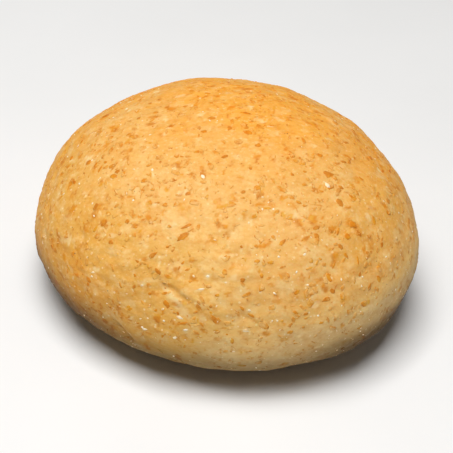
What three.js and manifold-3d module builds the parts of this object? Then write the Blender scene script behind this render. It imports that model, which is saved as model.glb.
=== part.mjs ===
// A round wholemeal bread roll: a low dome of dough with a rounded belly and a flat base,
// slightly uneven in plan, with one shallow crease low on its front and coarse bran flakes
// standing a little proud of the crust all over.
// Millimetres, +Z up. The origin is the centre of the flat base, which lies on z = 0.
// The longest way across lies along X, and the crease is on the front, which faces -Y.

import * as THREE from "three";
import { mergeVertices } from "three/addons/utils/BufferGeometryUtils.js";
import Module from "manifold-3d";

// The dome and the belly, each a superellipse: an exponent of 2 is an ellipse, and more is fuller.
const WIDTH = 100; // along X
const DEPTH = 92; // along Y
const BELT_HEIGHT = 19.2; // of the widest section, above the base
const CROWN_HEIGHT = 34; // of the top, above the widest section
const BELLY_DEPTH = 21.2; // of the underside below the widest section, before the tray flattens it
const CROWN_FULLNESS = 2.06;
const BELLY_FULLNESS = 2.65;

// How far the plan departs from an ellipse, and how the crown leans off the centre.
const THREE_LOBES = { share: 0.012, towards: THREE.MathUtils.degToRad(-39) };
const TWO_LOBES = { share: 0.02, towards: THREE.MathUtils.degToRad(-49) };
const LEAN = { x: 0.5, y: 0.9 };

// Soft swells that the proving dough keeps: height, length of one wave, and where it starts.
const SWELLS = [
  { height: 0.22, wave: { x: 52, y: 47, z: 60 }, start: 0.6 },
  { height: 0.14, wave: { x: -31, y: 36, z: 29 }, start: 2.1 },
  { height: 0.1, wave: { x: 19, y: 23, z: -21 }, start: 4.4 },
  { height: 0.06, wave: { x: 13, y: -11, z: 17 }, start: 1.2 },
];

// The crease: a step where the upper skin overhangs the lower, running down to the right.
const CREASE = {
  from: new THREE.Vector3(-18.8, -36.4, 35.2),
  to: new THREE.Vector3(2, -45, 25.6),
  depth: 0.8,
  width: 3,
  lip: 0.35, // how far the skin above it stands out
};

// Bran flakes, as low chips with a flat top.
const FLAKES = {
  count: 170,
  longest: 3.6,
  shortest: 1.9,
  slenderness: [0.42, 0.72], // width over length
  proud: 0.32,
  sunk: 0.7,
  corners: 6,
  topShare: 0.74, // of the flat top, in the chip's width at its foot
  seed: 20817,
};
const BASE_CLEARANCE = 1.6; // no chip reaches lower than this, so that the roll rests on its base

const CORE_DETAIL = 13; // subdivisions of each edge of the icosahedron that the dough is shaped from

const wasm = await Module();
wasm.setup();

// A seeded generator of numbers from 0 to 1: the same draws on every run.
function randomSource(seed) {
  let state = seed >>> 0;
  return () => {
    state = (Math.imul(state, 1664525) + 1013904223) >>> 0;
    return state / 4294967296;
  };
}

// How far the plan reaches in a direction, as a share of the plain ellipse.
function planShare(angle) {
  return (
    1 +
    THREE_LOBES.share * Math.cos(3 * (angle - THREE_LOBES.towards)) +
    TWO_LOBES.share * Math.cos(2 * (angle - TWO_LOBES.towards))
  );
}

// The height of the soft swells at a point.
function swellAt(point) {
  return SWELLS.reduce((sum, { height, wave, start }) => {
    const turns = point.x / wave.x + point.y / wave.y + point.z / wave.z;
    return sum + height * Math.sin(2 * Math.PI * turns + start);
  }, 0);
}

// The depth of the crease at a point: a step, sharp on its lower side, that fades at both ends.
function creaseAt(point) {
  const along = CREASE.to.clone().sub(CREASE.from);
  const offset = point.clone().sub(CREASE.from);
  const share = offset.dot(along) / along.lengthSq();
  const fade = Math.exp(-(((share - 0.5) / 0.42) ** 4));
  const across = offset.addScaledVector(along, -share);
  const above = across.z > 0 ? 1 : -1;
  const gap = (above * across.length()) / CREASE.width;
  const groove = CREASE.depth * Math.exp(-((gap + 0.25) ** 2) * 2);
  const lip = CREASE.lip * Math.exp(-((gap - 1.1) ** 2));
  return fade * (lip - groove);
}

// The point of the crust in a direction from the middle of the widest section.
function crustPoint(direction) {
  const { x, y, z } = direction;
  const upper = z > 0;
  const fullness = upper ? CROWN_FULLNESS : BELLY_FULLNESS;
  const reach = (Math.hypot(x, y) ** fullness + Math.abs(z) ** fullness) ** (-1 / fullness);
  const plan = planShare(Math.atan2(y, x));
  const lift = upper ? (reach * z) ** 2 : 0;
  const point = new THREE.Vector3(
    reach * x * (WIDTH / 2) * plan + LEAN.x * lift,
    reach * y * (DEPTH / 2) * plan + LEAN.y * lift,
    reach * z * (upper ? CROWN_HEIGHT : BELLY_DEPTH) + BELT_HEIGHT,
  );
  return point.addScaledVector(direction, swellAt(point) + creaseAt(point));
}

// The crust's outward normal in a direction, from two short steps along the surface.
function crustNormal(direction) {
  const step = 0.01;
  const side = new THREE.Vector3(0, 0, 1);
  if (Math.abs(direction.z) > 0.9) side.set(1, 0, 0);
  const east = side.clone().cross(direction).normalize();
  const north = direction.clone().cross(east);
  const here = crustPoint(direction);
  const toEast = crustPoint(direction.clone().addScaledVector(east, step).normalize()).sub(here);
  const toNorth = crustPoint(direction.clone().addScaledVector(north, step).normalize()).sub(here);
  return toEast.cross(toNorth).normalize();
}

// A closed geometry as a solid for joining and cutting.
function solidOf(geometry) {
  const bare = geometry.clone();
  bare.deleteAttribute("normal");
  bare.deleteAttribute("uv");
  const merged = mergeVertices(bare, 1e-4);
  return new wasm.Manifold(
    new wasm.Mesh({
      numProp: 3,
      vertProperties: merged.attributes.position.array,
      triVerts: new Uint32Array(merged.index.array),
    }),
  );
}

// A solid back as a geometry.
function geometryOf(solid) {
  const { vertProperties, triVerts } = solid.getMesh();
  const geometry = new THREE.BufferGeometry();
  geometry.setAttribute("position", new THREE.BufferAttribute(vertProperties, 3));
  geometry.setIndex(new THREE.BufferAttribute(triVerts, 1));
  geometry.computeVertexNormals();
  return geometry;
}

// The dough: an icosahedron's even triangles, each corner moved out to the crust.
function doughSolid() {
  const geometry = new THREE.IcosahedronGeometry(1, CORE_DETAIL);
  const corners = geometry.attributes.position;
  const direction = new THREE.Vector3();
  for (let i = 0; i < corners.count; i += 1) {
    direction.fromBufferAttribute(corners, i).normalize();
    const point = crustPoint(direction);
    corners.setXYZ(i, point.x, point.y, point.z);
  }
  return solidOf(geometry);
}

// The tray: everything below z = 0, which flattens the base.
function traySolid() {
  const reach = 2 * WIDTH;
  return solidOf(new THREE.BoxGeometry(reach, reach, reach).translate(0, 0, -reach / 2));
}

// One bran flake at its place on the crust, lying along the skin.
function flakeGeometry({ direction, length, width, turn }) {
  const { corners, topShare, proud, sunk } = FLAKES;
  const chip = new THREE.CylinderGeometry(topShare, 1, 1, corners)
    .rotateX(Math.PI / 2)
    .translate(0, 0, 0.5)
    .scale(length / 2, width / 2, proud + sunk)
    .translate(0, 0, -sunk)
    .rotateZ(turn);
  const upright = new THREE.Vector3(0, 0, 1);
  const lie = new THREE.Quaternion().setFromUnitVectors(upright, crustNormal(direction));
  return chip.applyQuaternion(lie).translate(...crustPoint(direction));
}

// The flakes' places and sizes: an even spiral over the crust, each moved a little off it.
function scatterFlakes() {
  const random = randomSource(FLAKES.seed);
  const golden = Math.PI * (3 - Math.sqrt(5));
  const [slimmest, broadest] = FLAKES.slenderness;
  const found = [];
  for (let i = 0; i < FLAKES.count; i += 1) {
    const z = 1 - (2 * (i + random())) / FLAKES.count;
    const angle = i * golden + 0.5 * (random() - 0.5);
    const ring = Math.sqrt(1 - z * z);
    const direction = new THREE.Vector3(ring * Math.cos(angle), ring * Math.sin(angle), z);
    const length = FLAKES.shortest + (FLAKES.longest - FLAKES.shortest) * random() ** 2;
    const width = length * (slimmest + (broadest - slimmest) * random());
    const turn = Math.PI * random();
    if (crustPoint(direction).z > BASE_CLEARANCE + length / 2) {
      found.push({ direction, length, width, turn });
    }
  }
  return found;
}

function breadRoll() {
  const dough = doughSolid().subtract(traySolid());
  const flakes = scatterFlakes().map((flake) => solidOf(flakeGeometry(flake)));
  const joined = wasm.Manifold.union([dough, ...flakes]);
  const crust = new THREE.MeshStandardMaterial({ color: 0xe0a45a, roughness: 0.6, metalness: 0 });
  const mesh = new THREE.Mesh(geometryOf(joined), crust);
  mesh.name = "bread_roll";
  return mesh;
}

const roll = new THREE.Group();
roll.name = "roll";
roll.add(breadRoll());

export default roll;
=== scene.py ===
"""A round wholemeal bread roll: its crust, bran flakes, pale crumbs of grain and dark specks.

The form is worked out in millimetres, +Z up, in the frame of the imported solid, which the crust
replaces, and becomes metres when a mesh is made.
"""
import itertools
import math

import bpy
import numpy as np
from mathutils import Matrix, Vector
from mathutils.bvhtree import BVHTree
from mathutils.kdtree import KDTree


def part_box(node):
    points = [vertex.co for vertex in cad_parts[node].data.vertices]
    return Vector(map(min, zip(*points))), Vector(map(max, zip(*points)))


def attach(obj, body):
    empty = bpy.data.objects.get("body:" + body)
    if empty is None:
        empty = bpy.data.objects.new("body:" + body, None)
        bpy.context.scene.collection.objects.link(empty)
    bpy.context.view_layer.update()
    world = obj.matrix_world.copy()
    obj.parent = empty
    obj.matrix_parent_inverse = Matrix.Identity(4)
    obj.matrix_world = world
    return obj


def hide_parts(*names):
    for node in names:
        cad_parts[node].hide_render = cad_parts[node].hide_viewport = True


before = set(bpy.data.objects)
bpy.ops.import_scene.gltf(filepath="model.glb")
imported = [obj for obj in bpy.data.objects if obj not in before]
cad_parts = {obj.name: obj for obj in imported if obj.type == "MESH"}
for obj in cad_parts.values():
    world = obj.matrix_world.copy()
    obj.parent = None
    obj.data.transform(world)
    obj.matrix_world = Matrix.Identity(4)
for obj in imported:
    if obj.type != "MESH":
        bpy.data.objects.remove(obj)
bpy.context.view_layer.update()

MM = 0.001
BODY = "root"
NODE = "bread_roll"

# The form, as in the solid: a dome over a fuller belly, each a superellipse, with shares of the
# solid's box as their sizes. The lobes, the lean and the flakes make up the rest of the box.
LOW, HIGH = (np.array(corner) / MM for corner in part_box(NODE))
LENGTH, BREADTH, HEIGHT = HIGH - LOW
WIDTH = 0.992 * LENGTH  # along X
DEPTH = 0.9875 * BREADTH  # along Y
BELT_HEIGHT = 0.358 * HEIGHT  # of the widest section, above the base
CROWN_HEIGHT = 0.634 * HEIGHT  # of the top, above the widest section
BELLY_DEPTH = 0.3954 * HEIGHT  # of the underside below it, before the tray flattens it
CROWN_FULLNESS = 2.06
BELLY_FULLNESS = 2.65
THREE_LOBES = {"share": 0.012, "towards": math.radians(-39)}
TWO_LOBES = {"share": 0.02, "towards": math.radians(-49)}
LEAN = np.array([0.5, 0.9])
CENTRE = np.array([0.0, 0.0, BELT_HEIGHT])

# Soft swells that the proving dough keeps: height, length of one wave, and where it starts.
SWELLS = [
    {"height": 0.22, "wave": (52, 47, 60), "start": 0.6},
    {"height": 0.14, "wave": (-31, 36, 29), "start": 2.1},
    {"height": 0.10, "wave": (19, 23, -21), "start": 4.4},
    {"height": 0.06, "wave": (13, -11, 17), "start": 1.2},
]

# The skin's finer relief: the length and the height of its waves, and how much they are pressed
# together along each axis. Wrinkles are narrow creases where such a wave crosses zero.
DIMPLES = {"length": 4.8, "height": 0.10, "press": (0.6, 1.0, 1.3), "seed": 11}
PUCKERS = {"length": 1.9, "height": 0.030, "press": (0.6, 1.0, 1.3), "seed": 12}
WRINKLES = {"length": 3.2, "height": 0.10, "press": (0.45, 0.9, 1.5), "width": 0.22, "seed": 13}
WRINKLED_AREAS = {"length": 17, "least": 0.15, "seed": 14}
ROUGHER_AREAS = {"length": 30, "gain": 0.3, "seed": 15}
BASE_HOLLOWS = {"length": 5, "depth": 0.12, "below": 0.02, "seed": 14}
# Where the skin is lumpiest, by a pixel of the photograph: on the front, above the fold.
ROUGH_PATCH = {"pixel": (222, 258), "reach": 17, "least": 0.55, "gain": 0.6}
CELLS = 126  # of the crust's mesh along each edge of the cube that it is shaped from

# The camera, from the photograph's outline: it looks down at the roll from the front.
VIEW_ELEVATION = math.radians(38)
VIEW_DISTANCE = 350.0
VIEW_TARGET = np.array([-0.2, 0.0, 18.9])
VIEW_TURN = math.radians(4.3)
PHOTO_PIXELS = 453
FOCAL_PIXELS = 1326
SENSOR_WIDTH = 36.0

# The floor and the light, in metres and watts.
FLOOR_HALF = 2.5
FLOOR_STOPS = [(0.3, (0.86, 0.855, 0.845)), (0.7, (0.885, 0.88, 0.87))]
KEY_LIGHT = {"towards": (-0.11, -0.18, 0.98), "distance": 0.8, "size": 0.45, "power": 7.0}
STUDIO_COLOUR = (1.0, 0.98, 0.95, 1)
STUDIO_STRENGTH = 0.1

# Folds of the skin: how deep and wide the step is, how far the skin above it stands out, how much painted
# shade darkens its foot, how far below it the skin is still low, and the photograph's pixels on its way.
FOLDS = [
    {"depth": 0.34, "width": 1.5, "lip": 0.22, "shade": 0.7, "shelf": 7, "route": [
        (146, 266), (156, 275), (164, 283), (173, 287), (180, 296), (189, 301), (197, 309), (209, 317),
    ]},
    {"depth": 0.28, "width": 0.7, "lip": 0.12, "shade": 0.5, "shelf": 2.5, "route": [
        (240, 312), (252, 319), (264, 326),
    ]},
    {"depth": 0.5, "width": 1.6, "lip": 0.2, "shade": 0.3, "shelf": 4, "route": [
        (112, 318), (124, 330), (136, 342),
    ]},
]
# A fold's section: the step below it, the groove at its foot and the lip above it, each by its
# share of the depth, its place from the fold in widths, and how sharp it is.
FOLD_STEP = {"share": 0.8, "sharpness": 6}
FOLD_FOOT = {"share": 0.35, "place": -0.1, "sharpness": 5}
FOLD_LIP = {"place": 1.3, "sharpness": 0.7}
FOLD_WAVES = {"length": 4, "share": 0.3, "seed": 21}  # that make a fold uneven along its way
FOLD_FADE = 0.46  # of the way along, from the middle, to where a fold dies away

# The solid's own bran flakes, drawn by the same rule, so that they lie where its chips do. Less of
# their length and width shows, because the chips' edges slope into the crust.
SOLID_FLAKES = {
    "count": 170, "longest": 3.6, "shortest": 1.9, "slimmest": 0.42, "broadest": 0.72,
    "clear_of_base": 1.6, "shown": (0.88, 0.78), "strengths": (0.25, 0.85), "seed": 20817,
}

# What is strewn over the crust: how many, the ranges of length and of width over length, how much
# thicker they lie low down, how strongly their colour shows, and the seed of their places.
SMALL_FLAKES = {"count": 2300, "lengths": (0.7, 2.5), "slenderness": (0.32, 0.78), "low": -0.9,
                "strengths": (0.2, 0.85), "seed": 31}
CURLED_FLAKES = {"count": 460, "lengths": (0.7, 1.9), "slenderness": (0.32, 0.62), "low": -0.9,
                 "strengths": (0.5, 1.25), "seed": 32}
FIBRES = {"count": 170, "lengths": (1.2, 3.4), "slenderness": (0.05, 0.09),
          "strengths": (0.4, 1.2), "seed": 33}
BURIED_FLAKES = {"count": 2050, "lengths": (1.1, 3.2), "slenderness": (0.3, 0.8), "low": -0.5,
                 "strengths": (0.1, 0.8), "seed": 34}
SMEARS = {"count": 800, "lengths": (0.8, 2.6), "slenderness": (0.3, 0.8),
          "strengths": (0.1, 0.75), "seed": 35}
PALE_CRUMBS = {"count": 950, "lengths": (0.24, 1.0), "slenderness": (0.4, 0.9), "low": 1.6, "seed": 36}
DARK_SPECKS = {"count": 170, "lengths": (0.2, 0.55), "slenderness": (0.6, 0.95), "seed": 37}
# They lie thicker in some areas than in others, by waves of these lengths.
DRIFTS = [{"length": 22, "strength": 0.35, "seed": 100}, {"length": 6, "strength": 0.45, "seed": 200}]
CLEAR_OF_BASE = 1.2  # the least height of what is strewn, but for the flakes buried in the skin

BASE_SHADE = 0.9  # the height up to which the base's colour reaches
BURIED_RISE = 0.05  # how far the skin rises over a buried flake
EDGE_STRENGTH = 0.45  # how much of a flat flake's colour its very edge has
# The waves round the edge of a spot of bran or flour in the skin: how many, and how high.
SPOT_EDGE = [(2, 0.18), (3, 0.14), (5, 0.1)]
SPOT_REACH = 1.6  # of half a spot's length, past its highest wave

# What catches the eye in the photograph, read off it: the pixel across and down, the
# length and the width as seen, in pixels, the lean of the long axis in degrees, and how strongly
# its colour shows, from 0 to about 1. All crumbs show alike.
SEEN_FLAKES = [
    # The largest.
    (154, 255, 10, 6, 28, 0.62), (104, 223, 13, 4.5, 42, 0.8), (95, 229, 8, 2.5, 52, 0.8),
    (89, 281, 7.5, 4, -58, 0.95), (96, 206, 9, 4.5, 58, 0.6), (186, 227, 15, 3.8, 24, 0.8),
    (184, 237, 14, 5, 32, 0.8), (157, 271, 9, 5, -55, 0.8), (224, 156, 8, 3.6, 24, 0.75),
    (198, 152, 7.5, 3.2, 8, 0.65), (188, 193, 8, 4, 36, 0.7), (242, 280, 6.5, 4.5, 35, 0.95),
    (217, 295, 6.5, 4.2, 0, 0.85), (256, 261, 6, 4, -5, 0.85), (270, 263, 6, 3.8, 15, 0.65),
    (347, 236, 10, 5.5, -60, 0.9), (316, 236, 6, 5, 70, 0.7), (357, 260, 13, 2.6, -82, 0.8),
    (360, 274, 5, 2.8, 80, 0.8), (329, 279, 10, 5, -55, 0.85), (332, 290, 7, 5.5, -40, 0.85),
    (298, 293, 8.5, 5, 40, 0.85), (365, 304, 10, 6.5, -50, 0.75), (295, 313, 9.5, 4, -32, 0.7),
    (198, 308, 11, 5.5, -48, 0.7), (215, 320, 11, 6, -42, 0.75), (291, 332, 7.5, 5, 15, 0.8),
    (232, 341, 8, 4, 88, 0.7), (88, 163, 8, 5, 50, 0.8), (258, 188, 8, 4.5, 20, 0.75),
    (328, 174, 11, 7, -15, 0.8),
    # Round the crease, and lower down.
    (166, 304, 9, 5, -70, 0.95), (165, 294, 6, 4, 0, 0.5), (149, 294, 4, 3, 20, 0.95),
    (129, 308, 4.5, 4, 0, 0.8), (156, 311, 4.5, 2.5, 15, 0.8), (179, 313, 4.5, 3, -60, 0.8),
    (162, 336, 3.5, 3, 0, 0.85), (138, 262, 5.5, 2.2, -45, 0.8), (167, 247, 4, 2.6, 20, 0.7),
    (190, 281, 4.5, 3.5, 0, 0.6), (183, 263, 5, 3, 40, 0.7), (188, 269, 6, 3.5, 20, 0.6),
    (179, 269, 6, 2.5, 60, 0.6), (216, 330, 3, 2.2, 0, 1.0), (211, 313, 5, 2.4, -30, 0.8),
    (185, 323, 14, 3, 6, 0.55), (148, 285, 6, 5, 0, 0.35), (133, 287, 5, 4, 80, 0.45),
    (131, 309, 5, 4, 0, 0.55), (136, 275, 4, 3, -40, 0.75), (196, 333, 8, 5, -20, 0.4),
    (166, 334, 3, 2, 0, 0.75), (227, 334, 2.8, 2, 0, 1.2), (262, 275, 5, 4.5, 60, 0.5),
    (247, 295, 11, 4, 30, 0.5), (310, 304, 9, 7, 60, 0.45), (272, 307, 9, 6, 10, 0.35),
    (241, 309, 6, 3, -50, 0.8), (252, 315, 9, 3.5, -25, 0.6), (306, 318, 5, 3, 20, 0.5),
    (303, 327, 5, 3, 30, 0.5), (281, 244, 4.5, 3, -20, 0.9), (309, 277, 4.5, 1.5, 80, 1.2),
    (283, 266, 7, 2.5, 20, 0.5), (309, 268, 8, 2.5, 20, 0.55), (320, 259, 4, 3, -60, 0.7),
    (316, 263, 6, 3, 60, 0.5), (326, 300, 8, 5, 20, 0.6), (321, 323, 6, 3, 10, 0.7),
    (242, 246, 3.6, 3, 80, 0.9), (231, 205, 8, 4.5, 10, 0.4), (242, 193, 6, 4.5, 0, 0.5),
    (154, 190, 5, 4, 20, 0.55), (110, 243, 6, 5, 80, 0.55), (109, 213, 6, 4.5, 20, 0.45),
    (128, 222, 5.5, 4.5, 10, 0.55), (136, 227, 4.5, 2, 10, 0.7), (68, 268, 7, 2.3, -65, 0.8),
    (370, 287, 8, 4, 85, 0.7), (378, 279, 8, 4.5, -75, 1.1),
    # The top and the upper left.
    (249, 133, 12, 5, -12, 0.8), (203, 131, 8, 3, 5, 0.7), (216, 153, 10, 4, -20, 0.45),
    (182, 156, 4, 2, -15, 0.95), (250, 168, 4.5, 3, -30, 0.95), (244, 113, 12, 2.4, -8, 0.75),
    (237, 118, 6, 2, 5, 0.75), (213, 118, 8, 3.5, 0, 0.55), (229, 128, 5, 4.5, 40, 0.55),
    (259, 146, 8, 5, 0, 0.7), (184, 106, 5, 3, 10, 0.6), (186, 163, 12, 4, 50, 0.45),
    (209, 94, 6.5, 2.6, -8, 0.85), (212, 103, 5, 3, -20, 0.65), (198, 96, 3.6, 2, 0, 0.75),
    (106, 116, 10, 3, 30, 0.8), (138, 118, 5.5, 3, 25, 0.65), (155, 112, 6, 4, 20, 0.45),
    (72, 158, 7, 3, 60, 0.75), (95, 165, 6, 2, 55, 0.8), (101, 168, 9, 2, 60, 0.75),
    (105, 162, 4, 3.5, 0, 1.0), (111, 166, 7, 4, 25, 0.85), (118, 172, 7, 4, 20, 0.85),
    (113, 176, 7, 4, 0, 0.65), (124, 173, 6, 3.6, 60, 0.65), (111, 150, 8, 5, 60, 0.4),
    (121, 144, 6, 5, 70, 0.45), (150, 143, 4.5, 2.5, 10, 0.65), (135, 136, 12, 5, 10, 0.45),
    (81, 142, 5, 2.5, 45, 0.65), (95, 145, 3, 2, 60, 0.7), (144, 180, 8, 4, 15, 0.65),
    (84, 173, 3, 2, 0, 0.7), (74, 182, 4, 3, 20, 0.75), (69, 166, 9, 3, 60, 0.55),
    # The right of the middle.
    (299, 203, 8, 4, -35, 0.9), (341, 203, 11, 6, -45, 0.8), (352, 225, 10, 6, -30, 0.7),
    (339, 230, 8, 3, 70, 0.6), (317, 227, 8, 6, 30, 0.65), (352, 197, 7, 3, -40, 0.75),
    (341, 187, 7, 3, -25, 0.8), (343, 162, 6, 3, -10, 0.65), (320, 156, 7, 4, -30, 0.6),
    (370, 158, 7, 3, -45, 0.75), (374, 220, 10, 3.5, -75, 0.75), (378, 197, 3, 3, 0, 0.95),
    (389, 213, 7, 3, -60, 0.75), (359, 233, 6, 4, -50, 0.65), (369, 237, 5, 4.5, 0, 0.6),
    (383, 245, 7, 3, 80, 0.65), (341, 247, 8, 5, -50, 0.7), (292, 175, 6, 3, -30, 0.75),
    (306, 172, 5, 3, 0, 0.6), (302, 165, 8, 3, -10, 0.55), (362, 179, 7, 2, -40, 0.65),
    (383, 171, 4, 3, -60, 0.75), (333, 175, 5, 4, -60, 1.0), (279, 187, 7, 4, -20, 0.45),
    (266, 208, 10, 2.5, 0, 0.65), (278, 211, 6, 4, 20, 0.5), (273, 237, 7, 4, -50, 0.6),
    (282, 242, 8, 3.5, 35, 0.85), (256, 247, 5, 4, 0, 0.6), (334, 264, 8, 2.5, 70, 0.6),
    (345, 255, 8, 3, -60, 0.6), (254, 216, 5, 4, 0, 0.6), (290, 219, 5, 2, 0, 0.75),
    (328, 275, 6, 5, 0, 0.8),
]
SEEN_CURLS = [
    (194, 203, 10.5, 6, 5, 0.8), (263, 287, 7, 6.5, 80, 0.7), (120, 233, 5.5, 5, 60, 0.7),
    (98, 237, 5.5, 4, -70, 0.8), (263, 326, 11, 8, -20, 0.8), (379, 269, 9, 4, -70, 0.85),
    (210, 286, 7, 5, 0, 0.7), (332, 329, 7, 5, 10, 0.7), (174, 249, 4.5, 4, 0, 0.9),
    (244, 125, 7.5, 5, -10, 0.85), (176, 155, 6, 4.5, 10, 0.95), (180, 115, 9, 6, 0, 0.55),
    (136, 111, 5.5, 4, 20, 0.75), (155, 147, 6.5, 5, 0, 0.6), (134, 187, 5.5, 4, 40, 0.85),
    (262, 240, 8, 5, 50, 0.75), (257, 190, 9, 8, 20, 0.7), (202, 176, 8.5, 6.5, -45, 0.75),
    (329, 186, 11, 6.5, -50, 0.95),
]
SEEN_SMEARS = [
    (174, 297, 25, 6.5, -47, 0.75), (184, 314, 12, 7, -50, 0.6), (227, 256, 11, 4, 8, 0.7),
    (142, 284, 8, 5, 20, 0.6), (207, 277, 8, 6, 0, 0.7), (199, 290, 10, 3, 4, 0.7),
    (178, 309, 9, 3, -20, 0.6), (186, 331, 7, 4, 0, 0.6), (246, 330, 7, 4, 5, 0.6),
    (226, 283, 6, 4, 0, 0.6), (171, 225, 9, 7, 30, 0.55), (111, 236, 7, 5, 0, 0.65),
    (154, 204, 5, 4, 0, 0.7), (304, 250, 10, 6, 40, 0.55), (331, 330, 9, 4, 10, 0.6),
    (198, 139, 6, 4, 0, 0.5), (237, 156, 7, 5, 40, 0.5), (150, 281, 13, 5, 10, 0.5),
    (309, 285, 5, 3, 0, 0.7), (249, 311, 6, 3, -30, 0.7), (318, 301, 6, 5, 0, 0.5),
]
SEEN_CRUMBS = [
    (202, 176, 7.5, 4.5, -50), (328, 185, 9.5, 4.5, -50), (152, 169, 3.4, 3, 0), (207, 276, 5, 3.6, 10),
    (200, 290, 8, 2, 4), (246, 330, 5, 2.4, 5), (225, 283, 3, 2.4, 0), (94, 273, 3.4, 3, 0),
    (141, 285, 4.5, 3, 10), (144, 329, 6, 3, -10), (141, 319, 2.6, 2.2, 0), (148, 319, 2.6, 2.2, 0),
    (180, 318, 7, 4.5, -20), (186, 330, 5, 3, 0), (175, 338, 5, 3, 0), (249, 310, 3.5, 2.6, 0),
    (279, 256, 3.4, 3, 0), (305, 254, 4, 3, 40), (311, 317, 3, 2.4, 0), (274, 293, 4, 1.8, -40),
    (245, 331, 5.5, 2.6, 0), (309, 285, 3.4, 2, 0),
]
# The seen things' meshes are larger than the sizes read off, because their edges are faint.
SEEN_SIZE = 1.12
SEEN_FLAKE_STRENGTH = 1.35
SEEN_CURL_STRENGTH = 1.4
LEAST_FACING = 0.35  # nearer the outline a seen size no longer says how long a thing is


def waves(points, length, seed, count=28):
    """A smooth random height at each point, mean 0 and spread 1, with waves about one length long."""
    rng = np.random.default_rng(seed)
    ways = rng.normal(size=(count, 3))
    ways /= np.linalg.norm(ways, axis=1, keepdims=True) * length * rng.uniform(0.7, 1.4, (count, 1))
    turns = points @ ways.T + rng.random(count)
    return np.sin(2 * math.pi * turns).sum(axis=1) * math.sqrt(2 / count)


def unit(vectors):
    """Each vector at length one."""
    return vectors / np.linalg.norm(vectors, axis=-1, keepdims=True)


def form_points(directions):
    """The points of the smooth form in directions from the middle of its widest section."""
    x, y, z = directions.T
    upper = z > 0
    fullness = np.where(upper, CROWN_FULLNESS, BELLY_FULLNESS)
    reach = (np.hypot(x, y) ** fullness + np.abs(z) ** fullness) ** (-1 / fullness)
    angle = np.arctan2(y, x)
    plan = 1 + THREE_LOBES["share"] * np.cos(3 * (angle - THREE_LOBES["towards"]))
    plan = plan + TWO_LOBES["share"] * np.cos(2 * (angle - TWO_LOBES["towards"]))
    lift = np.where(upper, (reach * z) ** 2, 0)
    points = np.stack([
        reach * x * WIDTH / 2 * plan + LEAN[0] * lift,
        reach * y * DEPTH / 2 * plan + LEAN[1] * lift,
        reach * z * np.where(upper, CROWN_HEIGHT, BELLY_DEPTH),
    ], axis=1) + CENTRE
    swell = np.zeros(len(points))
    for part in SWELLS:
        turns = points @ (1 / np.array(part["wave"]))
        swell += part["height"] * np.sin(2 * math.pi * turns + part["start"])
    return points + directions * swell[:, None]


def cube_sphere(cells):
    """Directions spread over a sphere, with the quads between them: a cube's faces, bent evenly."""
    ticks = np.tan(np.linspace(-1, 1, cells + 1) * math.pi / 4)
    u, v = (side.ravel() for side in np.meshgrid(ticks, ticks, indexing="ij"))
    one = np.ones_like(u)
    faces = [(one, u, v), (-one, v, u), (v, one, u), (u, -one, v), (u, v, one), (v, u, -one)]
    corners = unit(np.concatenate([np.stack(face, axis=1) for face in faces]))
    row = np.arange(cells)
    first = (row[:, None] * (cells + 1) + row).ravel()
    quads = np.stack([first, first + cells + 1, first + cells + 2, first + 1], axis=1)
    quads = np.concatenate([quads + number * (cells + 1) ** 2 for number in range(6)])
    _, kept, place = np.unique(np.round(corners, 6), axis=0, return_index=True, return_inverse=True)
    return corners[kept], place.ravel()[quads]


def normals_of(points, quads):
    """The outward normal and the share of the surface at each point of a mesh."""
    a, b, c, d = (points[quads[:, side]] for side in range(4))
    facing = np.cross(c - a, d - b)
    total = np.zeros_like(points)
    for side in range(4):
        np.add.at(total, quads[:, side], facing)
    area = np.linalg.norm(total, axis=1)
    return total / area[:, None], area


class View:
    """The photograph's camera: its place, and its axes to the right, up and back, as columns."""

    back = np.array([0, -math.cos(VIEW_ELEVATION), math.sin(VIEW_ELEVATION)])
    place = VIEW_TARGET + VIEW_DISTANCE * back
    level = np.stack([np.array([1.0, 0, 0]), np.cross(back, [1.0, 0, 0]), back], axis=1)
    turn = np.array([
        [math.cos(VIEW_TURN), -math.sin(VIEW_TURN), 0],
        [math.sin(VIEW_TURN), math.cos(VIEW_TURN), 0],
        [0, 0, 1],
    ])
    axes = level @ turn

    @classmethod
    def pixels(cls, points):
        """Where the photograph shows points: pixels across and down."""
        right, up, back = ((points - cls.place) @ cls.axes).T
        middle = PHOTO_PIXELS / 2
        return np.stack([middle - FOCAL_PIXELS * right / back, middle + FOCAL_PIXELS * up / back], axis=1)


class Skin:
    """The crust's surface as points with outward normals, which everything else is laid on."""

    def __init__(self, points, quads):
        self.points = points
        self.quads = quads
        self.refresh()

    def refresh(self):
        """Works out the normals, the areas and the tree again, after the points have moved."""
        self.normals, self.area = normals_of(self.points, self.quads)
        self.tree = BVHTree.FromPolygons(self.points.tolist(), self.quads.tolist())

    def raise_by(self, heights):
        """Moves each point along its normal."""
        self.points = self.points + self.normals * heights[:, None]
        self.points[:, 2] = np.maximum(self.points[:, 2], 0)
        self.refresh()

    def nearest(self, points):
        """The nearest points of the surface."""
        return np.array([self.tree.find_nearest(Vector(point))[0] for point in points])

    def seen_at(self, across, down):
        """The number of the mesh point that a pixel of the photograph shows."""
        towards = ((View.place - self.points) * self.normals).sum(axis=1) > 0
        away = np.linalg.norm(View.pixels(self.points) - [across, down], axis=1)
        return np.where(towards, away, np.inf).argmin()


def lay_out(skin, numbers, halves_long, halves_wide):
    """Where flat things lie: middles, outward normals, and half a length and half a width as vectors."""
    middles, normals = skin.points[numbers], skin.normals[numbers]
    return {"middle": middles, "normal": normals, "long": halves_long, "wide": halves_wide}


def join_layouts(*layouts):
    """Several layouts as one."""
    return {key: np.concatenate([layout[key] for layout in layouts]) for key in layouts[0]}


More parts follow.
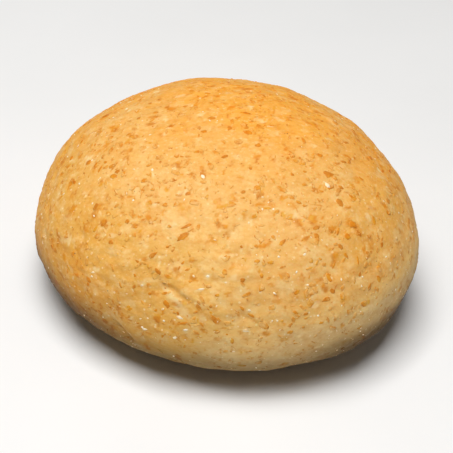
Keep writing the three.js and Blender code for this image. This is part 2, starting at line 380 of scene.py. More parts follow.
def scatter(skin, rule, clear_of_base=True):
    """A layout of things strewn evenly over the crust, turned any way, with more short than long."""
    rng = np.random.default_rng(rule["seed"])
    drifts = np.zeros(len(skin.points))
    for drift in DRIFTS:
        drifts += drift["strength"] * waves(skin.points, drift["length"], rule["seed"] + drift["seed"])
    weight = skin.area * np.exp(drifts)
    if clear_of_base:
        weight = weight * (skin.points[:, 2] > CLEAR_OF_BASE)
    weight = weight * np.exp(-rule.get("low", 0) * skin.points[:, 2] / HEIGHT)
    numbers = rng.choice(len(weight), rule["count"], p=weight / weight.sum())
    shortest, longest = rule["lengths"]
    slimmest, broadest = rule["slenderness"]
    lengths = shortest + (longest - shortest) * rng.random(rule["count"]) ** 2
    widths = lengths * rng.uniform(slimmest, broadest, rule["count"])
    normals = skin.normals[numbers]
    along = unit(np.cross(normals, rng.normal(size=(rule["count"], 3))))
    across = np.cross(normals, along)
    return lay_out(skin, numbers, along * lengths[:, None] / 2, across * widths[:, None] / 2)


def draws(seed):
    """The solid's own generator of numbers from 0 to 1."""
    state = seed
    while True:
        state = (state * 1664525 + 1013904223) % 2**32
        yield state / 2**32


def solid_flakes(skin):
    """A layout of the flakes that the solid has, by its own rule."""
    rule = SOLID_FLAKES
    source = draws(rule["seed"])
    golden = math.pi * (3 - math.sqrt(5))
    numbers, along, across = [], [], []
    for count in range(rule["count"]):
        z = 1 - 2 * (count + next(source)) / rule["count"]
        angle = count * golden + 0.5 * (next(source) - 0.5)
        ring = math.sqrt(1 - z * z)
        direction = np.array([[ring * math.cos(angle), ring * math.sin(angle), z]])
        length = rule["shortest"] + (rule["longest"] - rule["shortest"]) * next(source) ** 2
        width = length * (rule["slimmest"] + (rule["broadest"] - rule["slimmest"]) * next(source))
        turn = math.pi * next(source)
        middle = form_points(direction)[0]
        if middle[2] <= rule["clear_of_base"] + length / 2:
            continue
        number = np.linalg.norm(skin.points - middle, axis=1).argmin()
        lie = Vector((0, 0, 1)).rotation_difference(Vector(skin.normals[number]))
        shown_length, shown_width = rule["shown"]
        numbers.append(number)
        along.append(np.array(lie @ Vector((math.cos(turn), math.sin(turn), 0))) * shown_length * length / 2)
        across.append(np.array(lie @ Vector((-math.sin(turn), math.cos(turn), 0))) * shown_width * width / 2)
    return lay_out(skin, numbers, np.array(along), np.array(across))


def seen_layout(skin, seen):
    """A layout of things by the pixels, sizes and leans that the photograph shows."""
    numbers, along, across = [], [], []
    for across_picture, down, length, width, lean, *_ in seen:
        number = skin.seen_at(across_picture, down)
        normal = skin.normals[number]
        scale = np.linalg.norm(skin.points[number] - View.place) / FOCAL_PIXELS
        lean = math.radians(lean)
        for size, angle, found in ((length, lean, along), (width, lean + math.pi / 2, across)):
            on_picture = View.axes @ np.array([math.cos(angle), math.sin(angle), 0])
            slope = -(on_picture @ normal) / max(View.axes[:, 2] @ normal, LEAST_FACING)
            found.append((on_picture + slope * View.axes[:, 2]) * size * scale * SEEN_SIZE / 2)
        numbers.append(number)
    return lay_out(skin, numbers, np.array(along), np.array(across))


def spots(skin, layout, strengths, softness, seed):
    """How strongly soft, uneven spots cover each point of the skin, from 0 to 1."""
    rng = np.random.default_rng(seed)
    tree = KDTree(len(skin.points))
    for number, point in enumerate(skin.points):
        tree.insert(point, number)
    tree.balance()
    covered = np.zeros(len(skin.points))
    for middle, along, across, strength in zip(layout["middle"], layout["long"], layout["wide"], strengths):
        reach = np.linalg.norm(along) * SPOT_REACH
        near = [number for _, number, _ in tree.find_range(Vector(middle), reach)]
        offset = skin.points[near] - middle
        a = offset @ along / (along @ along)
        b = offset @ across / (across @ across)
        angle = np.arctan2(b, a)
        edge = np.ones(len(angle))
        for (number, height), start in zip(SPOT_EDGE, rng.uniform(0, 2 * math.pi, len(SPOT_EDGE))):
            edge += height * np.sin(number * angle + start)
        inside = np.clip((edge - np.hypot(a, b)) / softness + 0.5, 0, 1)
        covered[near] = np.maximum(covered[near], strength * inside * inside * (3 - 2 * inside))
    return covered


def fold_relief(skin, fold):
    """One fold's height at each point, and how much painted shade its groove puts on the point."""
    route = skin.points[[skin.seen_at(*pixel) for pixel in fold["route"]]]
    starts, ends = route[:-1], route[1:]
    lengths = np.linalg.norm(ends - starts, axis=1)
    total = lengths.sum()
    best = np.full(len(skin.points), np.inf)
    share = np.zeros(len(skin.points))
    above = np.zeros(len(skin.points))
    passed = 0
    for start, end, length in zip(starts, ends, lengths):
        way = (end - start) / length
        run = np.clip((skin.points - start) @ way, 0, length)
        offset = skin.points - start - run[:, None] * way
        gap = np.linalg.norm(offset, axis=1)
        closer = gap < best
        best = np.where(closer, gap, best)
        share = np.where(closer, (passed + run) / total, share)
        above = np.where(closer, np.sign(offset[:, 2]), above)
        passed += length
    side = above * best / fold["width"]
    fade = np.exp(-(((share - 0.5) / FOLD_FADE) ** 6))
    shelf = np.exp(-((np.minimum(side, 0) * fold["width"] / fold["shelf"]) ** 2))
    step = fade * shelf / (1 + np.exp(FOLD_STEP["sharpness"] * side))
    foot = fade * np.exp(-((side - FOLD_FOOT["place"]) ** 2) * FOLD_FOOT["sharpness"])
    lip = fade * np.exp(-((side - FOLD_LIP["place"]) ** 2) * FOLD_LIP["sharpness"])
    drop = fold["depth"] * (FOLD_STEP["share"] * step + FOLD_FOOT["share"] * foot)
    uneven = 1 + FOLD_WAVES["share"] * waves(skin.points, FOLD_WAVES["length"], FOLD_WAVES["seed"])
    return uneven * (fold["lip"] * lip - drop), foot * fold["shade"] * np.clip(uneven, 0.4, 1.4)


def flatten_base(points):
    """The form on its tray: points below z = 0 go back to it, along their lines to the centre."""
    below = points[:, 2] < 0
    shorten = np.where(below, CENTRE[2] / np.maximum(CENTRE[2] - points[:, 2], 1e-6), 1)
    points = CENTRE + (points - CENTRE) * shorten[:, None]
    points[below, 2] = 0
    return points


def lumpiness(skin):
    """How lumpy the skin is at each point: smooth at the top and the sides, and lumpier in areas."""
    away = np.linalg.norm(skin.points - skin.points[skin.seen_at(*ROUGH_PATCH["pixel"])], axis=1)
    rough = ROUGH_PATCH["least"] + ROUGH_PATCH["gain"] * np.exp(-((away / ROUGH_PATCH["reach"]) ** 2))
    areas = waves(skin.points, ROUGHER_AREAS["length"], ROUGHER_AREAS["seed"])
    return rough + ROUGHER_AREAS["gain"] * np.clip(areas, 0, 1)


def wrinkle_depth(points):
    """How deep the skin's narrow creases are at each point."""
    wave = waves(points * WRINKLES["press"], WRINKLES["length"], WRINKLES["seed"])
    areas = waves(points, WRINKLED_AREAS["length"], WRINKLED_AREAS["seed"])
    line = np.exp(-((wave / WRINKLES["width"]) ** 2))
    return WRINKLES["height"] * line * np.clip(areas, WRINKLED_AREAS["least"], 1)


def shape_skin():
    """The skin with all its relief, and the shade of its folds at each point."""
    directions, quads = cube_sphere(CELLS)
    skin = Skin(flatten_base(form_points(directions)), quads)
    points = skin.points
    height = np.zeros(len(points))
    shade = np.zeros(len(points))
    for fold in FOLDS:
        rise, dark = fold_relief(skin, fold)
        height += rise
        shade = np.maximum(shade, dark)
    rough = lumpiness(skin)
    for relief in (DIMPLES, PUCKERS):
        height += rough * relief["height"] * waves(points * relief["press"], relief["length"], relief["seed"])
    height -= rough * wrinkle_depth(points)
    hollows = -BASE_HOLLOWS["depth"] * np.abs(waves(points, BASE_HOLLOWS["length"], BASE_HOLLOWS["seed"]))
    skin.raise_by(np.where(points[:, 2] < BASE_HOLLOWS["below"], hollows, height))
    return skin, shade


def outlines(rng, count, corners):
    """Uneven outlines about 1 from their middles: straight sides of random lean, a little ragged."""
    sides = 5
    turns = 2 * math.pi * (np.arange(corners) + rng.uniform(-0.3, 0.3, (count, corners))) / corners
    facing = 2 * math.pi * (np.arange(sides) + rng.uniform(-0.33, 0.33, (count, sides))) / sides
    facing += rng.uniform(0, 2 * math.pi, (count, 1))
    apart = rng.uniform(0.55, 1.0, (count, sides))
    lean = np.maximum(np.cos(turns[:, :, None] - facing[:, None, :]), 0.2)
    reach = np.minimum((apart[:, None, :] / lean).min(axis=2), 1.3)
    reach = reach * rng.uniform(0.9, 1.1, (count, corners))
    return reach * np.cos(turns), reach * np.sin(turns)


def repeated(faces, count, points_each):
    """The faces of many like meshes in a row, from those of the first."""
    return [tuple(k + number * points_each for k in face) for number in range(count) for face in faces]


def chips(skin, layout, rng, top, foot, corners=11, dish=0.0, bend=0.0):
    """Closed chips laid on the skin: uneven outlines, a low top, dished or domed, and a foot below.

    Gives their points, their faces, and each point's place on its chip: along it and across it
    from -1 to 1, and how far out it is from 0 to 1.
    """
    count = len(layout["middle"])
    edge_along, edge_across = outlines(rng, count, corners)
    lift = top * rng.uniform(0.5, 1.3, count)
    tilt = lift * rng.uniform(-0.8, 0.8, count)
    bow = bend * rng.uniform(-1, 1, (count, 1))
    # Each ring: how far out it is, how high in shares of the lift, or the foot's depth.
    rings = [(1.0, None), (1.0, 0.2), (0.72, 1.0), (0.0, 1.0 - dish), (0.0, None)]
    points, places = [], []
    for share, height in rings:
        width = corners if share else 1
        a = share * edge_along[:, :width]
        b = share * edge_across[:, :width] + bow * (a * a - 0.4)
        flat = layout["middle"][:, None] + a[..., None] * layout["long"][:, None]
        flat = flat + b[..., None] * layout["wide"][:, None]
        ground = skin.nearest(flat.reshape(-1, 3)).reshape(flat.shape)
        rise = np.full(a.shape, -foot) if height is None else lift[:, None] * height + tilt[:, None] * a
        points.append(ground + rise[..., None] * layout["normal"][:, None])
        places.append(np.stack([a, b, np.full(a.shape, share)], axis=2))
    here = list(range(corners))
    ahead = here[1:] + here[:1]
    over, under = 3 * corners, 3 * corners + 1
    faces = []
    for low in (0, corners):
        faces += [(low + i, low + j, low + corners + j, low + corners + i) for i, j in zip(here, ahead)]
    faces += [(2 * corners + i, 2 * corners + j, over) for i, j in zip(here, ahead)]
    faces += [(j, i, under) for i, j in zip(here, ahead)]
    faces = repeated(faces, count, 3 * corners + 2)
    return np.concatenate(points, axis=1).reshape(-1, 3), faces, np.concatenate(places, axis=1)


def ball():
    """The points and the faces of a ball with 20 equal sides."""
    golden = (1 + math.sqrt(5)) / 2
    points = np.array([
        np.roll((a, b, 0), turn) for turn in range(3) for b in (golden, -golden) for a in (-1, 1)
    ])
    faces = []
    for trio in itertools.combinations(range(len(points)), 3):
        a, b, c = points[list(trio)]
        longest = max(np.linalg.norm(a - b), np.linalg.norm(b - c), np.linalg.norm(c - a))
        if longest < 2.1:  # an edge is 2 long
            outward = np.cross(b - a, c - a) @ a > 0
            faces.append(trio if outward else trio[::-1])
    return unit(points), faces


def lumps(layout, rng, proud):
    """Small uneven lumps pressed into the skin, as closed meshes."""
    ball_points, ball_faces = ball()
    count = len(layout["middle"])
    shape = ball_points[None] * rng.uniform(0.78, 1.22, (count, len(ball_points), 1))
    high = 0.7 * np.linalg.norm(layout["wide"], axis=1)[:, None, None] * layout["normal"][:, None]
    points = layout["middle"][:, None] + shape[..., :1] * layout["long"][:, None]
    points = points + shape[..., 1:2] * layout["wide"][:, None] + shape[..., 2:] * high
    points = points - high * (1 - proud)
    return points.reshape(-1, 3), repeated(ball_faces, count, len(ball_points))


def join_meshes(*parts):
    """Several lists of points, faces and point values as one."""
    points, faces, values = [], [], []
    start = 0
    for some_points, some_faces, some_values in parts:
        points.append(some_points)
        faces += [tuple(k + start for k in face) for face in some_faces]
        values.append(some_values)
        start += len(some_points)
    return np.concatenate(points), faces, np.concatenate(values)


def add_piece(name, points, faces, material, slot, **values):
    """A piece that rides on the roll, with its values at each point as attributes."""
    mesh = bpy.data.meshes.new(name)
    mesh.from_pydata((points * MM).tolist(), [], faces)
    mesh.shade_smooth()
    for label, numbers in values.items():
        mesh.attributes.new(label, "FLOAT", "POINT").data.foreach_set("value", numbers.astype(np.float32))
    mesh.materials.append(material)
    piece = bpy.data.objects.new(name, mesh)
    bpy.context.scene.collection.objects.link(piece)
    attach(piece, BODY)
    return piece


class Graph:
    """A material's nodes. Inputs are numbers, colours or outputs of other nodes."""

    def __init__(self, name):
        self.material = bpy.data.materials.new(name)
        self.material.use_nodes = True
        self.tree = self.material.node_tree
        self.tree.nodes.clear()
        self.place = self.add("ShaderNodeTexCoord", {}).outputs["Object"]

    def add(self, kind, inputs, **settings):
        """One node."""
        made = self.tree.nodes.new(kind)
        for name, value in settings.items():
            setattr(made, name, value)
        for key, value in inputs.items():
            if isinstance(value, bpy.types.NodeSocket):
                self.tree.links.new(value, made.inputs[key])
            else:
                made.inputs[key].default_value = value
        return made

    def noise(self, feature, detail=2.0, roughness=0.5, press=None):
        """Noise with features about so many millimetres across, pressed together along each axis."""
        place = self.place
        if press:
            place = self.add("ShaderNodeVectorMath", {0: place, 1: press}, operation="MULTIPLY").outputs[0]
        inputs = {"Vector": place, "Scale": 1 / (feature * MM), "Detail": detail, "Roughness": roughness}
        return self.add("ShaderNodeTexNoise", inputs).outputs["Fac"]

    def value(self, name):
        """A value that the mesh holds at each point."""
        return self.add("ShaderNodeAttribute", {}, attribute_name=name).outputs["Fac"]

    def sums(self, operation, first, second):
        """Two numbers added, multiplied or the like."""
        return self.add("ShaderNodeMath", {0: first, 1: second}, operation=operation).outputs[0]

    def reach(self, value, low, high, to_low=0.0, to_high=1.0):
        """A value's range taken smoothly to another, and kept inside it."""
        inputs = {"Value": value, "From Min": low, "From Max": high, "To Min": to_low, "To Max": to_high}
        made = self.add("ShaderNodeMapRange", inputs, interpolation_type="SMOOTHSTEP")
        return made.outputs["Result"]

    def mix(self, share, first, second, blend="MIX"):
        """Two colours mixed."""
        inputs = {0: share, 6: first, 7: second}
        return self.add("ShaderNodeMix", inputs, data_type="RGBA", blend_type=blend).outputs[2]

    def tinted(self, share, colour, tint):
        """A colour multiplied by a tint, as far as the share says."""
        return self.mix(share, colour, self.mix(1.0, colour, tint, "MULTIPLY"))

    def along(self, axis):
        """How far each point lies along an axis, in metres."""
        return self.add("ShaderNodeSeparateXYZ", {"Vector": self.place}).outputs[axis]

    def dot(self, way):
        """How far each point lies in a direction, in metres, times the direction's length."""
        made = self.add("ShaderNodeVectorMath", {0: self.place, 1: way}, operation="DOT_PRODUCT")
        return made.outputs["Value"]

    def beyond(self, distance, from_to):
        """How far a distance in metres has come from one number of millimetres to another."""
        return self.reach(distance, from_to[0] * MM, from_to[1] * MM)

    def specks(self, spacing, radius, share):
        """Round specks about so many millimetres apart, with a share of them left out."""
        inputs = {"Vector": self.place, "Scale": 1 / (spacing * MM)}
        cells = self.add("ShaderNodeTexVoronoi", inputs)
        near = self.reach(cells.outputs["Distance"], 1.25 * radius / spacing, 0.75 * radius / spacing)
        red = self.add("ShaderNodeSeparateColor", {"Color": cells.outputs["Color"]}).outputs["Red"]
        return self.sums("MULTIPLY", near, self.reach(red, share - 0.05, share + 0.25))

    def ramp(self, value, stops):
        """A colour by a value from 0 to 1."""
        made = self.add("ShaderNodeValToRGB", {"Fac": value})
        elements = made.color_ramp.elements
        while len(elements) < len(stops):
            elements.new(0.5)
        for element, (place, colour) in zip(elements, stops):
            element.position = place
            element.color = (*colour, 1)
        return made.outputs["Color"]

    def bump(self, height, distance, normal=None):
        """A bump of so many millimetres."""
        inputs = {"Height": height, "Distance": distance * MM, "Strength": 1.0}
        if normal is not None:
            inputs["Normal"] = normal
        return self.add("ShaderNodeBump", inputs).outputs["Normal"]

    def close(self, colour, roughness, normal, subsurface=0.0, radius=(1.0, 0.4, 0.15), specular=0.4):
        """The shader and the output."""
        shader = self.add("ShaderNodeBsdfPrincipled", {
            "Base Color": colour, "Roughness": roughness, "Normal": normal, "Specular IOR Level": specular,
            "Subsurface Weight": subsurface, "Subsurface Radius": radius, "Subsurface Scale": 1.2 * MM,
        })
        self.add("ShaderNodeOutputMaterial", {"Surface": shader.outputs["BSDF"]})
        return self.material


# The crust's colours by how far it is browned, which grows with its height, from 0 to 1. The lowest stops are
# darker, partly from the tray and partly as painted shade under the belly.
CRUST_STOPS = [
    (0.00, (0.64, 0.400, 0.155)),
    (0.14, (0.66, 0.423, 0.171)),
    (0.29, (0.79, 0.527, 0.221)),
    (0.44, (0.90, 0.547, 0.174)),
    (0.60, (0.86, 0.485, 0.138)),
    (0.72, (0.845, 0.468, 0.137)),
    (0.84, (0.84, 0.449, 0.118)),
    (0.95, (0.845, 0.411, 0.086)),
    (1.00, (0.885, 0.402, 0.060)),
]
PALE_GRAIN_STOPS = [(0.38, (0.94, 0.66, 0.32)), (0.58, (1.0, 0.88, 0.64))]
DARK_SPECK_STOPS = [(0.4, (0.20, 0.085, 0.025)), (0.6, (0.42, 0.20, 0.06))]
# How much browner the crust gets with each metre away from the middle, to the left, to the left
# low down, where the extra darkening is painted shade, and at the top to the right and the back. The sides
# get no browner than a limit.
BROWNER_ENDS = 6.0
BROWNER_LEFT = 1.5
LOW_LEFT_PAINTED_SHADE = 8.0
BROWNER_TOP = (1.8, 5.0, 0.0)
BROWNEST_SIDE = 0.9
# Where that sets in, as shares of the height: the painted shade low on the left, the sides below the top and
# above the base, and the top.
LOW_LEFT = (0.62, 0.42)
BELOW_TOP = (1.0, 0.6)
ABOVE_BASE = (0.05, 0.3)
AT_TOP = (0.5, 0.85)
BROWN_PATCHES = {"noise": (17, 2.5), "strength": 0.35}

# Tints of the left front, the right side and the back left, painted to cancel the paling that the light's
# sheen gives these
# rims: the way there, the millimetres along that way between which a tint sets in, and the shares of the
# height between which it does or ends.
SHEEN_OFFSET_TINTS = [
    {"way": (-0.8, -0.6, 0), "from_to": (20, 40), "heights": [(0.88, 0.66)], "tint": (0.97, 0.94, 0.72, 1)},
    {"way": (1, 0, 0), "from_to": (16, 34), "heights": [(0.92, 0.74), (0.52, 0.72)],
     "tint": (1, 0.94, 0.72, 1)},
    {"way": (-0.7, 0.7, 0), "from_to": (25, 33), "heights": [(0.4, 0.6)], "tint": (1.04, 0.94, 0.60, 1)},
]
# The painted shade under the belly at the foot, all round, and what the ends, the left front and the right
# front add to it, less close to the base. The ends count by how far out they are, and a little by how far
# forward.
FOOT_SHADE_HEIGHTS = (0.36, 0.18)
FOOT_PAINTED_SHADE = (0.44, 0.445, 0.44, 1)
CLOSE_TO_BASE = (0.16, 0.04)
FORWARD = (0, -0.3, 0)
END_FOOT_SHADE = {"from_to": (33, 49), "heights": (0.45, 0.2), "tint": (0.52, 0.455, 0.34, 1)}
FRONT_FOOT_SHADES = [
    {"way": (-0.8, -0.6, 0), "from_to": (22, 44), "heights": (0.46, 0.17), "tint": (0.65, 0.61, 0.58, 1)},
    {"way": (0.8, -0.6, 0), "from_to": (40, 49), "heights": (0.37, 0.26), "tint": (0.62, 0.61, 0.58, 1)},
]

# The skin's mottling, as what Graph.noise, Graph.reach and Graph.specks take: pale floury clouds,
# warmer patches, fine streaks along X, dark and pale, and grains of flour.
CLOUDS = {"noise": (4.0, 4, 0.6), "reach": (0.48, 0.68), "heights": (0.95, 0.7, 0.24, 0.42)}
WARM_PATCHES = {"noise": (2.4, 4), "reach": (0.5, 0.72, 0, 0.6), "tint": (0.92, 0.78, 0.58, 1)}
STREAKS = {"noise": (0.75, 4, 0.62, (0.7, 1.0, 1.2)), "dark": (0.5, 0.68, 0, 0.5),
           "pale": (0.46, 0.3, 0, 0.35), "tint": (0.90, 0.76, 0.52, 1)}
GRAINS = {"specks": (1.5, 0.3, 0.55), "heights": (0.95, 0.45, 0.28, 0.6), "colour": (1.0, 0.80, 0.46, 1)}
FLOUR_COLOUR = (0.93, 0.69, 0.33, 1)

# Bran multiplies the crust's colour: brown, golden or ochre, by patches of a flake's size. A finer
# noise makes its edges and the flour's ragged.
BRAN_KINDS = {"noise": (2.6, 1), "golden": (0.42, 0.5), "ochre": (0.58, 0.64)}
BROWN_BRAN = (0.775, 0.51, 0.20, 1)
GOLDEN_BRAN = (0.90, 0.62, 0.20, 1)
OCHRE_BRAN = (0.93, 0.75, 0.26, 1)
RAGGED = (0.9, 3)
BRAN = {"ragged": 0.9, "reach": (0.02, 0.84)}
FLOUR = {"ragged": 0.6, "reach": (0.05, 1.1)}
BRAN_GRAIN_TINT = (0.88, 0.70, 0.42, 1)
# The painted shade in the folds' grooves.
FOLD_PAINTED_SHADE = (0.84, 0.66, 0.34, 1)
BASE_COLOUR = (0.38, 0.20, 0.07, 1)
PORES_PER_METRE = 420.0


def browning(graph, height):
    """How far the crust is browned, from its height as a share of the whole, with painted shade low on the
    left.
    """
    x = graph.along("X")
    ends = graph.sums("MULTIPLY", graph.sums("ABSOLUTE", x, 0.0), BROWNER_ENDS)
    # Low on the left the crust is darkened further: painted shade.
    left = graph.reach(height, *LOW_LEFT, -BROWNER_LEFT, -BROWNER_LEFT - LOW_LEFT_PAINTED_SHADE)
    sides = graph.sums("ADD", ends, graph.sums("MULTIPLY", x, left))
    for heights in (BELOW_TOP, ABOVE_BASE):
        sides = graph.sums("MULTIPLY", sides, graph.reach(height, *heights))
    limit = graph.sums("MAXIMUM", height, BROWNEST_SIDE)
    level = graph.sums("MINIMUM", graph.sums("ADD", height, sides), limit)
    top = graph.sums("MULTIPLY", graph.dot(BROWNER_TOP), graph.reach(height, *AT_TOP))
    patches = graph.sums("SUBTRACT", graph.noise(*BROWN_PATCHES["noise"]), 0.5)
    patches = graph.sums("MULTIPLY", patches, BROWN_PATCHES["strength"])
    return graph.sums("ADD", level, graph.sums("ADD", top, patches))


def sheen_offset_tints(graph, colour, height):
    """The crust with the tints of its sides, painted to cancel the light's sheen there."""
    for part in SHEEN_OFFSET_TINTS:
        share = graph.beyond(graph.dot(part["way"]), part["from_to"])
        for heights in part["heights"]:
            share = graph.sums("MULTIPLY", share, graph.reach(height, *heights))
        colour = graph.tinted(share, colour, part["tint"])
    return colour


def mottled(graph, colour, height):
    """The crust with floury clouds, warmer patches, streaks and grains of flour."""
    clouds = graph.reach(graph.noise(*CLOUDS["noise"]), *CLOUDS["reach"])
    clouds = graph.sums("MULTIPLY", clouds, graph.reach(height, *CLOUDS["heights"]))
    colour = graph.mix(clouds, colour, FLOUR_COLOUR)
    warm = graph.reach(graph.noise(*WARM_PATCHES["noise"]), *WARM_PATCHES["reach"])
    colour = graph.tinted(warm, colour, WARM_PATCHES["tint"])
    streaks = graph.noise(*STREAKS["noise"])
    colour = graph.tinted(graph.reach(streaks, *STREAKS["dark"]), colour, STREAKS["tint"])
    colour = graph.mix(graph.reach(streaks, *STREAKS["pale"]), colour, FLOUR_COLOUR)
    grains = graph.sums("MULTIPLY", graph.specks(*GRAINS["specks"]), graph.reach(height, *GRAINS["heights"]))
    return graph.mix(grains, colour, GRAINS["colour"])


def bran_tint(graph):
    """What bran does to the colour under it."""
    kind = graph.noise(*BRAN_KINDS["noise"])
    tint = graph.mix(graph.reach(kind, *BRAN_KINDS["golden"]), BROWN_BRAN, GOLDEN_BRAN)
    return graph.mix(graph.reach(kind, *BRAN_KINDS["ochre"]), tint, OCHRE_BRAN)


def with_bran_and_flour(graph, colour):
    """The crust with the bran and the flour that the mesh's values give."""
    ragged = graph.sums("SUBTRACT", graph.noise(*RAGGED), 0.5)
    bran = graph.sums("ADD", graph.value("bran"), graph.sums("MULTIPLY", ragged, BRAN["ragged"]))
    colour = graph.tinted(graph.reach(bran, *BRAN["reach"]), colour, bran_tint(graph))
    flour = graph.sums("ADD", graph.value("flour"), graph.sums("MULTIPLY", ragged, FLOUR["ragged"]))
    return graph.mix(graph.reach(flour, *FLOUR["reach"]), colour, FLOUR_COLOUR)


def painted_foot_shade(graph, colour, height):
    """The crust with painted shade at its foot, under the belly."""
    # Painted shade: the foot darkened all round, more at the ends and the front.
    colour = graph.tinted(graph.reach(height, *FOOT_SHADE_HEIGHTS), colour, FOOT_PAINTED_SHADE)
    close = graph.reach(height, *CLOSE_TO_BASE)
    ends = graph.sums("ADD", graph.sums("ABSOLUTE", graph.along("X"), 0.0), graph.dot(FORWARD))
    parts = [(END_FOOT_SHADE, ends)] + [(part, graph.dot(part["way"])) for part in FRONT_FOOT_SHADES]
    for part, distance in parts:
        low = graph.sums("SUBTRACT", graph.reach(height, *part["heights"]), close)
        share = graph.sums("MULTIPLY", graph.beyond(distance, part["from_to"]), low)
        colour = graph.tinted(share, colour, part["tint"])
    return colour


def crust_colour(graph):
    """The crust's colour: golden, darker at the foot as painted shade, mottled, with bran and flour in the
    skin.
    """
    height = graph.sums("DIVIDE", graph.along("Z"), HEIGHT * MM)
    colour = graph.ramp(browning(graph, height), CRUST_STOPS)
    colour = sheen_offset_tints(graph, colour, height)
    colour = mottled(graph, colour, height)
    colour = with_bran_and_flour(graph, colour)
    return painted_foot_shade(graph, colour, height)


def crust_material():
    """The baked skin: satin, faintly see-through, with fine puckers and pores."""
    graph = Graph("crust")
    colour = crust_colour(graph)
    # Painted shade along the folds' grooves.
    colour = graph.tinted(graph.value("fold"), colour, FOLD_PAINTED_SHADE)
    uneven = graph.reach(graph.noise(6, detail=4), 0.2, 0.7, to_low=0.6, to_high=1.0)
    colour = graph.mix(graph.sums("MULTIPLY", graph.value("base"), uneven), colour, BASE_COLOUR)
    shine = graph.reach(graph.noise(4, detail=3), 0.3, 0.7, to_low=0.52, to_high=0.68)
    normal = graph.bump(graph.noise(1.3, detail=4, roughness=0.6), distance=0.15)
    cells = graph.add("ShaderNodeTexVoronoi", {"Vector": graph.place, "Scale": PORES_PER_METRE})
    pores = graph.reach(cells.outputs["Distance"], 0.0, 0.22)
    normal = graph.bump(pores, distance=0.05, normal=normal)
    return graph.close(colour, shine, normal, subsurface=0.18, specular=0.12)


def bran_material():
    """Bran: the crust's colour, darkened as far as the flake is bare, with fine streaks."""
    graph = Graph("bran")
    grain = graph.reach(graph.noise(0.45, detail=3), 0.42, 0.64, to_high=0.6)
    colour = graph.tinted(grain, crust_colour(graph), BRAN_GRAIN_TINT)
    shine = graph.reach(graph.noise(1.2, detail=3), 0.3, 0.7, to_low=0.42, to_high=0.62)
    normal = graph.bump(graph.noise(0.5, detail=3), distance=0.05)
    return graph.close(colour, shine, normal, specular=0.1)


def grain_material():
    """Pale broken grain: creamy, here and there golden."""
    graph = Graph("pale_grain")
    colour = graph.ramp(graph.noise(2.2, detail=3), PALE_GRAIN_STOPS)
    normal = graph.bump(graph.noise(0.4, detail=3), distance=0.04)
    return graph.close(colour, 0.5, normal, specular=0.3)


def speck_material():
    """Dark specks: scorched bran, brown to grey-brown."""
    graph = Graph("dark_bran")
    colour = graph.ramp(graph.noise(2.5), DARK_SPECK_STOPS)
    normal = graph.bump(graph.noise(0.3), distance=0.03)
    return graph.close(colour, 0.6, normal)


def drawn_strengths(rng, rule, layout):
    """How strongly the colour of each thing in a layout shows, by its rule."""
    return rng.uniform(*rule["strengths"], len(layout["middle"]))


def seen_strengths(seen, times=1.0):
    """How strongly the colour of each thing read off the photograph shows."""
    return times * np.array([strength for *_, strength in seen])


def make_crust(skin, shade):
    """The crust, with the bran, the flour, the folds' painted shade and the base that its skin holds."""
    rng = np.random.default_rng(41)
    buried = scatter(skin, BURIED_FLAKES, clear_of_base=False)
    smears = scatter(skin, SMEARS)
    bran = spots(skin, buried, drawn_strengths(rng, BURIED_FLAKES, buried), 0.55, 42)
    flour = spots(skin, smears, drawn_strengths(rng, SMEARS, smears), 0.9, 43)
    seen = spots(skin, seen_layout(skin, SEEN_SMEARS), seen_strengths(SEEN_SMEARS), 1.0, 44)
    flour = np.maximum(flour, seen)
    base = np.clip((BASE_SHADE - skin.points[:, 2]) / BASE_SHADE, 0, 1) * (skin.normals[:, 2] < -0.5)
    skin.raise_by(BURIED_RISE * bran)
    crust = add_piece("crust", skin.points, skin.quads.tolist(), crust_material(), "crust",
                      bran=bran, flour=flour, fold=shade, base=base)
    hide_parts(NODE)


def flat_flakes(skin, layout, dark, rng, fading=0.6):
    """Flakes that lie flat. Dough covers one side of many of them, where their colour fades."""
    points, faces, places = chips(skin, layout, rng, top=0.06, foot=0.25)
    slope = rng.uniform(-fading, fading, (2, len(dark), 1))
    bare = 1 - np.abs(slope).sum(axis=0) * 0.5 + slope[0] * places[..., 0] + slope[1] * places[..., 1]
    bran = dark[:, None] * np.clip(bare, 0.1, 1.2) * np.where(places[..., 2] > 0.9, EDGE_STRENGTH, 1)
    return points, faces, np.stack([bran, np.zeros_like(bran)], axis=2).reshape(-1, 2)


def curled_flakes(skin, layout, dark, rng):
    """Flakes that curl up from the dough: dark along part of the rim, and light inside."""
    points, faces, places = chips(skin, layout, rng, top=0.11, foot=0.3, dish=1.1)
    facing = rng.uniform(0, 2 * math.pi, (2, len(dark), 1))[0]
    turn = np.arctan2(places[..., 1], places[..., 0]) - facing
    rim = np.clip(places[..., 2] * 2 - 0.8, 0, 1) * np.clip(0.5 + 0.7 * np.cos(turn), 0, 1)
    bran = dark[:, None] * np.maximum(rim, 0.25)
    flour = 0.35 * (1 - rim) * (places[..., 2] < 0.9)
    return points, faces, np.stack([bran, flour], axis=2).reshape(-1, 2)


def thin_fibres(skin, layout, dark, rng):
    """Thin bowed fibres of bran."""
    points, faces, places = chips(skin, layout, rng, top=0.06, foot=0.2, corners=8, bend=5.0)
    bran = np.repeat(dark, places.shape[1])
    return points, faces, np.stack([bran, np.zeros_like(bran)], axis=1)


def make_crumbs(skin):
    """Pale crumbs of grain and dark specks, pressed into the skin."""
    rng = np.random.default_rng(61)
    layout = join_layouts(scatter(skin, PALE_CRUMBS), seen_layout(skin, SEEN_CRUMBS))
    points, faces = lumps(layout, rng, proud=0.55)
    add_piece("pale_crumbs", points, faces, grain_material(), "pale_grain")
    points, faces = lumps(scatter(skin, DARK_SPECKS), rng, proud=0.5)
    add_piece("dark_specks", points, faces, speck_material(), "bran")


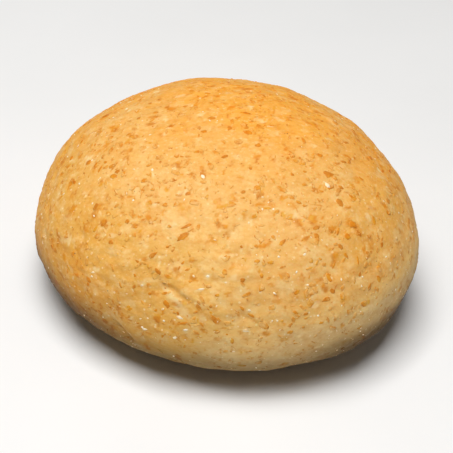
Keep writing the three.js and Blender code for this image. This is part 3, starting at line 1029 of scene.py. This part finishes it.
def make_roll():
    """The whole roll."""
    skin, shade = shape_skin()
    make_crust(skin, shade)
    rng = np.random.default_rng(71)
    small = scatter(skin, SMALL_FLAKES)
    large = solid_flakes(skin)
    clear = seen_layout(skin, SEEN_FLAKES)
    curled = scatter(skin, CURLED_FLAKES)
    clear_curled = seen_layout(skin, SEEN_CURLS)
    thin = scatter(skin, FIBRES)
    kinds = {
        "bran_flakes": [
            flat_flakes(skin, small, drawn_strengths(rng, SMALL_FLAKES, small), rng),
            flat_flakes(skin, large, drawn_strengths(rng, SOLID_FLAKES, large), rng),
            flat_flakes(skin, clear, seen_strengths(SEEN_FLAKES, SEEN_FLAKE_STRENGTH), rng, fading=0.2),
        ],
        "curled_bran": [
            curled_flakes(skin, curled, drawn_strengths(rng, CURLED_FLAKES, curled), rng),
            curled_flakes(skin, clear_curled, seen_strengths(SEEN_CURLS, SEEN_CURL_STRENGTH), rng),
        ],
        "bran_fibres": [thin_fibres(skin, thin, drawn_strengths(rng, FIBRES, thin), rng)],
    }
    material = bran_material()
    for name, parts in kinds.items():
        points, faces, values = join_meshes(*parts)
        add_piece(name, points, faces, material, "bran", bran=values[:, 0], flour=values[:, 1])
    make_crumbs(skin)


def make_camera():
    """The camera at the photograph's angle, with its long lens."""
    data = bpy.data.cameras.new("camera")
    data.sensor_width = SENSOR_WIDTH
    data.lens = SENSOR_WIDTH * FOCAL_PIXELS / PHOTO_PIXELS
    data.clip_start = 0.01
    camera = bpy.data.objects.new("camera", data)
    matrix = np.eye(4)
    matrix[:3, :3] = View.axes
    matrix[:3, 3] = View.place * MM
    camera.matrix_world = Matrix(matrix.tolist())
    bpy.context.scene.collection.objects.link(camera)
    bpy.context.scene.camera = camera


def make_floor():
    """A plain pale floor."""
    corners = [(x * FLOOR_HALF, y * FLOOR_HALF, 0) for x, y in ((-1, -1), (1, -1), (1, 1), (-1, 1))]
    mesh = bpy.data.meshes.new("floor")
    mesh.from_pydata(corners, [], [(0, 1, 2, 3)])
    graph = Graph("floor")
    colour = graph.ramp(graph.noise(60, detail=3), FLOOR_STOPS)
    normal = graph.bump(graph.noise(3), distance=0.02)
    mesh.materials.append(graph.close(colour, 0.85, normal, specular=0.2))
    floor = bpy.data.objects.new("floor", mesh)
    bpy.context.scene.collection.objects.link(floor)


def light_scene():
    """Soft studio light: a large square light, mostly above, and a pale surrounding."""
    data = bpy.data.lights.new("key", "AREA")
    data.size = KEY_LIGHT["size"]
    data.energy = KEY_LIGHT["power"]
    light = bpy.data.objects.new("key", data)
    way = Vector(KEY_LIGHT["towards"]).normalized()
    light.location = way * KEY_LIGHT["distance"]
    light.rotation_euler = way.to_track_quat("Z", "Y").to_euler()
    bpy.context.scene.collection.objects.link(light)
    world = bpy.data.worlds.new("studio")
    world.use_nodes = True
    background = world.node_tree.nodes["Background"]
    background.inputs["Color"].default_value = STUDIO_COLOUR
    background.inputs["Strength"].default_value = STUDIO_STRENGTH
    bpy.context.scene.world = world
    bpy.context.scene.view_settings.view_transform = "Standard"


make_camera()
make_roll()
make_floor()
light_scene()
